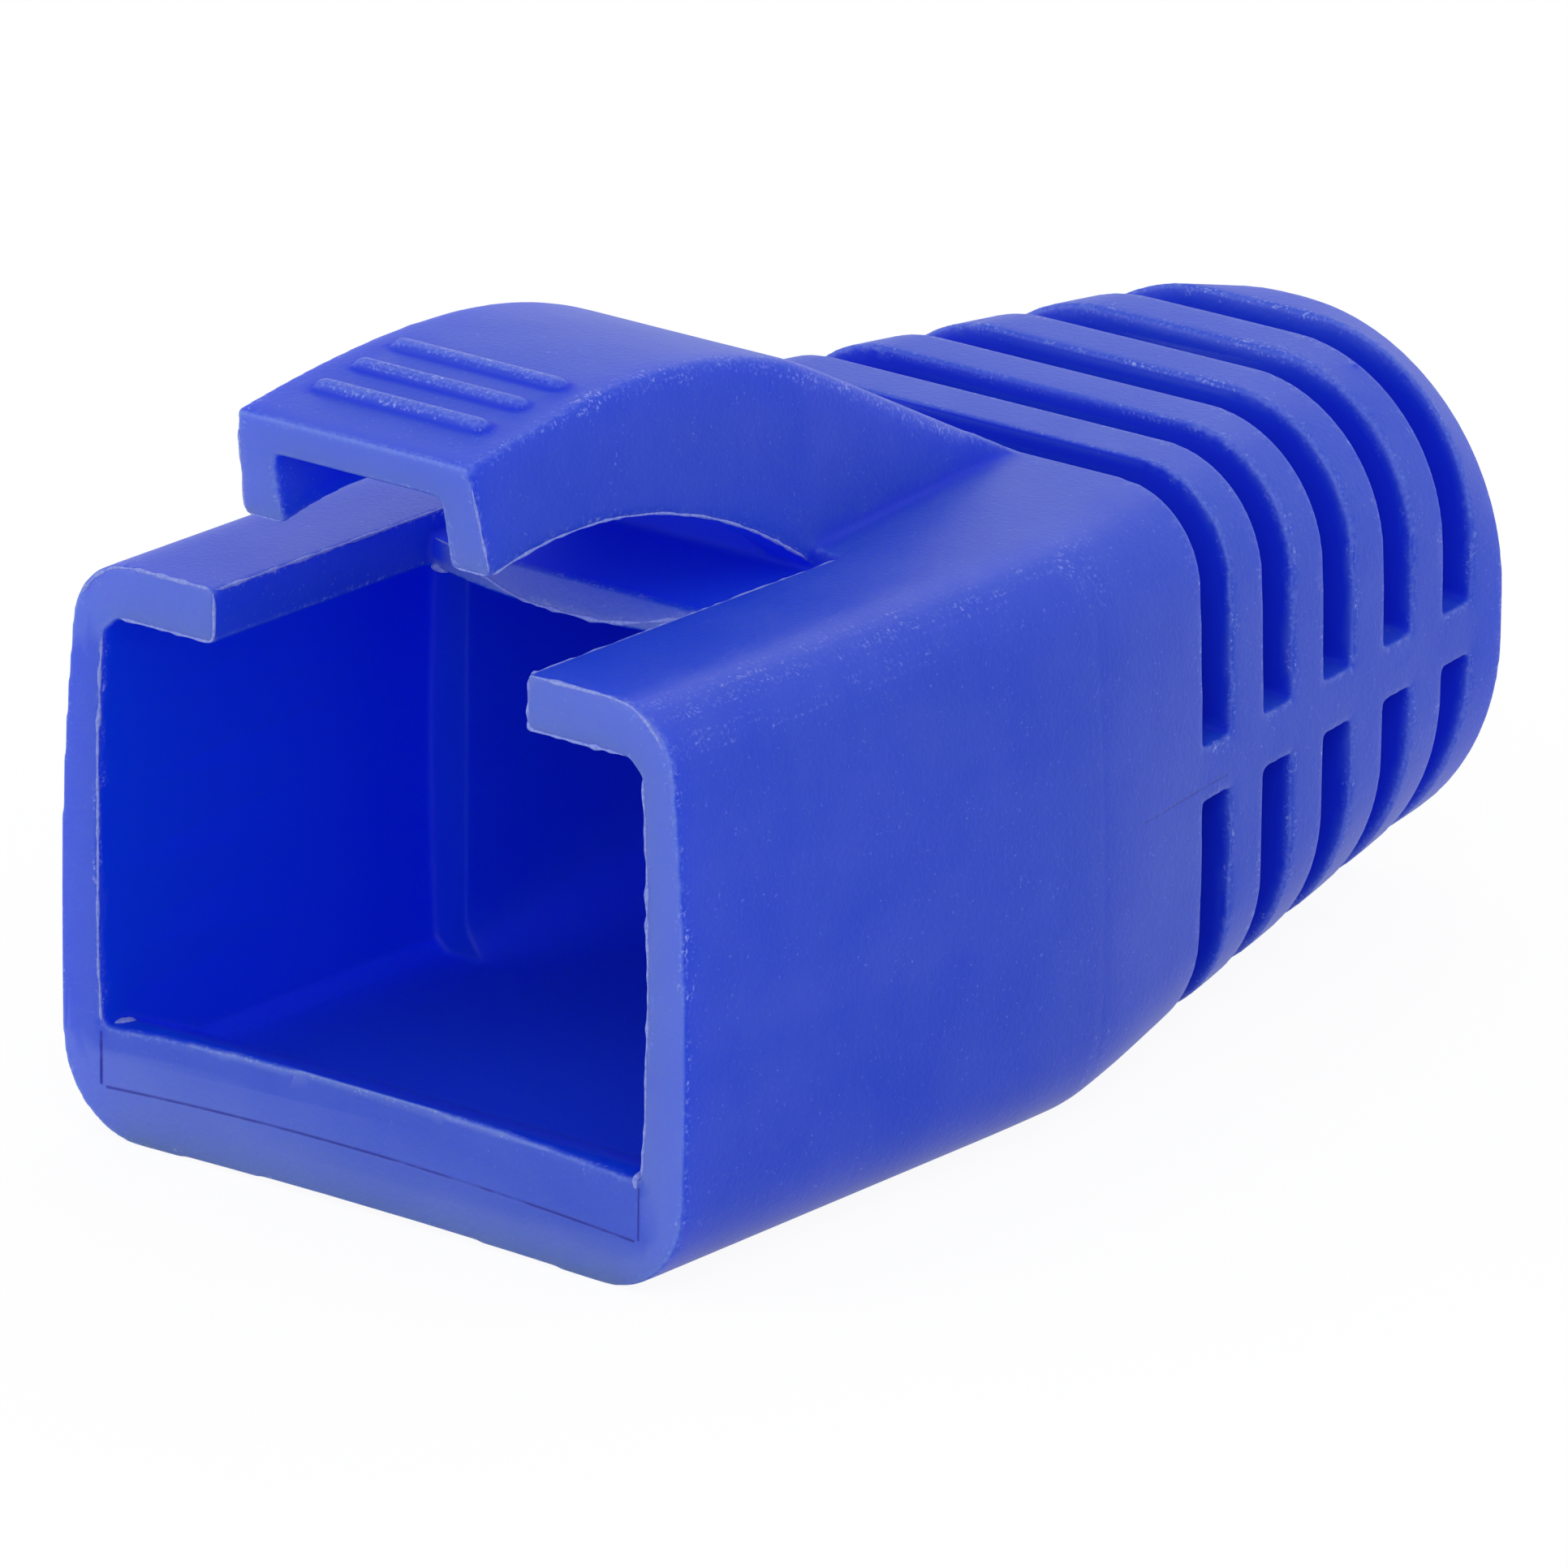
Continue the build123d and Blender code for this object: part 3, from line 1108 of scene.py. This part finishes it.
    def nubs(self) -> list[tuple[Place, Place]]:
        """Lists the torn nubs.

        Returns:
            The middle and the three half sizes of each.
        """
        return [
            ((-5.86, 0.42, -3.52), (0.14, 0.32, 0.20)),
            ((5.88, 0.22, -3.46), (0.13, 0.22, 0.18)),
            ((-3.22, 5.72, 4.12), (0.18, 0.08, 0.08)),
        ]

    def nub(
        self, middle: Place, half: Place, chance: np.random.Generator
    ) -> tuple[np.ndarray, np.ndarray]:
        """Makes a lump: an ellipsoid whose radius swells and shrinks with waves of its angles.

        Args:
            middle: Where it sits, partly sunk into the skin.
            half: Its half sizes.
            chance: Source of the random numbers.

        Returns:
            Points, and faces as rows of four. The poles are small rings with a cap.
        """
        around = np.linspace(0.0, 2 * np.pi, self.nub_turns, endpoint=False)[None, :]
        down = np.linspace(self.nub_pole, np.pi - self.nub_pole, self.nub_rings)[:, None]
        phase = chance.random(4) * 2 * np.pi
        broad, fine = self.nub_swells
        swell = 1.0 + broad * np.sin(2 * around + phase[0]) * np.sin(down)
        waves = np.sin(3 * around + phase[1]) * np.cos(2 * down + phase[2])
        swell = swell + fine * waves * np.sin(down)
        flat = np.sin(down)
        level = np.cos(down) + 0 * around
        shape = np.stack([flat * np.cos(around), flat * np.sin(around), level], axis=2)
        points = np.array(middle) + np.array(half) * shape * swell[:, :, None]
        return points.reshape(-1, 3), tube_faces(self.nub_rings, self.nub_turns)


@dataclass(frozen=True)
class Lamp:
    """Square soft lamp. At a radiance of 1 it is as bright as the white that is seen."""

    name: str
    spot: Place
    size: float
    radiance: float

    def hang(self, aim: Vector) -> bpy.types.Object:
        """Hangs the lamp so that it looks at a point. Its power is pi times area times radiance.

        Args:
            aim: Point that it looks at.

        Returns:
            The lamp.
        """
        data = bpy.data.lights.new(self.name, "AREA")
        data.shape = "SQUARE"
        data.size = self.size
        data.energy = np.pi * self.size * self.size * self.radiance
        lamp = bpy.data.objects.new(self.name, data)
        lamp.location = self.spot
        lamp.rotation_mode = "QUATERNION"
        lamp.rotation_quaternion = (aim - Vector(self.spot)).to_track_quat("-Z", "Y")
        bpy.context.scene.collection.objects.link(lamp)
        return lamp


@dataclass(frozen=True)
class Studio:
    """Pale floor, soft lamps and a white surround."""

    paper: Colour = (0.85, 0.85, 0.86, 1.0)
    floor_size: float = 1.2
    floor_shadow: float = 0.1
    floor_white: float = 1.035
    surround: float = 0.73
    lamps: tuple[Lamp, ...] = (
        Lamp("front_lamp", (-0.26, -0.33, 0.09), 0.14, 3.0),
        Lamp("key_lamp", (0.25, -0.29, 0.25), 0.20, 1.6),
        Lamp("rim_lamp", (-0.10, 0.31, 0.31), 0.15, 1.5),
    )

    def white_to(self, tree: bpy.types.NodeTree) -> bpy.types.NodeSocket:
        """Adds the share, 0 or 1, of a ray that should see plain white.

        Args:
            tree: Node tree of the floor or the world.

        Returns:
            Socket with 1 for camera, glossy and transmission rays.
        """
        path = add_node(tree, "ShaderNodeLightPath")
        share = path.outputs[Ray.CAMERA.value]
        for ray in (Ray.GLOSSY, Ray.TRANSMISSION):
            larger = add_node(tree, "ShaderNodeMath", operation="MAXIMUM")
            tree.links.new(share, larger.inputs[0])
            tree.links.new(path.outputs[ray.value], larger.inputs[1])
            share = larger.outputs["Value"]
        return share

    def build_floor(self, level: float) -> bpy.types.Object:
        """Lays the floor under the boot.

        Args:
            level: Height of the floor.

        Returns:
            The floor.
        """
        half = self.floor_size / 2
        corners = [(x * half, y * half, level) for x, y in ((-1, -1), (1, -1), (1, 1), (-1, 1))]
        mesh = bpy.data.meshes.new("studio_floor")
        mesh.from_pydata(corners, [], [(0, 1, 2, 3)])
        floor = bpy.data.objects.new("studio_floor", mesh)
        bpy.context.scene.collection.objects.link(floor)
        material = bpy.data.materials.new("studio_floor")
        material.use_nodes = True
        tree = material.node_tree
        tree.nodes.clear()
        paper = add_node(tree, "ShaderNodeBsdfDiffuse", Color=self.paper)
        white = add_node(tree, "ShaderNodeEmission", Color=WHITE, Strength=self.floor_white)
        seen = add_node(tree, "ShaderNodeMath", operation="MULTIPLY")
        seen.inputs[1].default_value = 1.0 - self.floor_shadow
        tree.links.new(self.white_to(tree), seen.inputs[0])
        blend = add_node(tree, "ShaderNodeMixShader")
        tree.links.new(seen.outputs["Value"], blend.inputs[0])
        tree.links.new(paper.outputs["BSDF"], blend.inputs[1])
        tree.links.new(white.outputs["Emission"], blend.inputs[2])
        output = add_node(tree, "ShaderNodeOutputMaterial")
        tree.links.new(blend.outputs["Shader"], output.inputs["Surface"])
        mesh.materials.append(material)
        floor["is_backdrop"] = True
        return floor

    def build_surround(self) -> None:
        """Makes the world: plain white where it is seen, a softer white where it only lights."""
        world = bpy.data.worlds.new("studio_surround")
        bpy.context.scene.world = world
        world.use_nodes = True
        tree = world.node_tree
        tree.nodes.clear()
        lighting = add_node(tree, "ShaderNodeBackground", Color=WHITE, Strength=self.surround)
        seen = add_node(tree, "ShaderNodeBackground", Color=WHITE, Strength=1.0)
        blend = add_node(tree, "ShaderNodeMixShader")
        tree.links.new(self.white_to(tree), blend.inputs[0])
        tree.links.new(lighting.outputs["Background"], blend.inputs[1])
        tree.links.new(seen.outputs["Background"], blend.inputs[2])
        output = add_node(tree, "ShaderNodeOutputWorld")
        tree.links.new(blend.outputs["Shader"], output.inputs["Surface"])


@dataclass(frozen=True)
class PhotoCamera:
    """Camera at the photograph's place, in millimetres and degrees from the mouth's middle."""

    focal_pixels: float = 20814.8
    azimuth: float = 38.748
    elevation: float = 18.864
    roll: float = 0.612
    middle_across: float = 7.136
    middle_up: float = 7.162
    distance: float = 289.188
    axis_height: float = 5.2
    sensor: float = 36.0
    clip_metres: Span = (0.01, 10.0)

    def build(self) -> bpy.types.Object:
        """Sets up the camera. Its back, right and up directions follow from the three angles.

        Returns:
            The scene's camera.
        """
        turn, rise, roll = np.radians([self.azimuth, self.elevation, self.roll])
        back = np.array([np.sin(turn) * np.cos(rise), -np.cos(turn) * np.cos(rise), np.sin(rise)])
        level = np.array([np.cos(turn), np.sin(turn), 0.0])
        upright = np.cross(back, level)
        right = np.cos(roll) * level + np.sin(roll) * upright
        up = -np.sin(roll) * level + np.cos(roll) * upright
        eye = right * self.middle_across + up * self.middle_up + back * self.distance
        eye[2] -= self.axis_height
        data = bpy.data.cameras.new("photo_camera")
        data.sensor_width = self.sensor
        data.lens = self.sensor * self.focal_pixels / PHOTO_PIXELS
        data.clip_start, data.clip_end = self.clip_metres
        camera = bpy.data.objects.new("photo_camera", data)
        placed = np.eye(4)
        placed[:3, :3] = np.column_stack([right, up, back])
        placed[:3, 3] = eye * MM
        camera.matrix_world = Matrix(placed.tolist())
        bpy.context.scene.collection.objects.link(camera)
        bpy.context.scene.camera = camera
        return camera


def main() -> None:
    """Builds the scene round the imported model."""
    logging.basicConfig(level=logging.INFO, format="%(name)s: %(message)s")
    for leftover in list(bpy.data.objects):
        bpy.data.objects.remove(leftover)
    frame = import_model()
    cad_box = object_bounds()
    bpy.context.scene.view_settings.view_transform = "Standard"

    plastic = MouldedPlastic().build()
    moulding = BootMoulding()
    boot = moulding.build(frame["nodes"]["boot"], plastic)
    LOG.info("boot moulding: %d faces", len(boot.data.polygons))
    flash = MouldMarks().build(moulding.edge_spots, plastic)
    LOG.info("mould flash: %d faces", len(flash.data.polygons))

    studio = Studio()
    studio.build_floor(cad_box[0].z)
    studio.build_surround()
    aim = (cad_box[0] + cad_box[1]) / 2
    for lamp in studio.lamps:
        lamp.hang(aim)
    PhotoCamera().build()
    LOG.info("studio: floor, surround, lamps and camera")


if __name__ == "__main__":
    main()
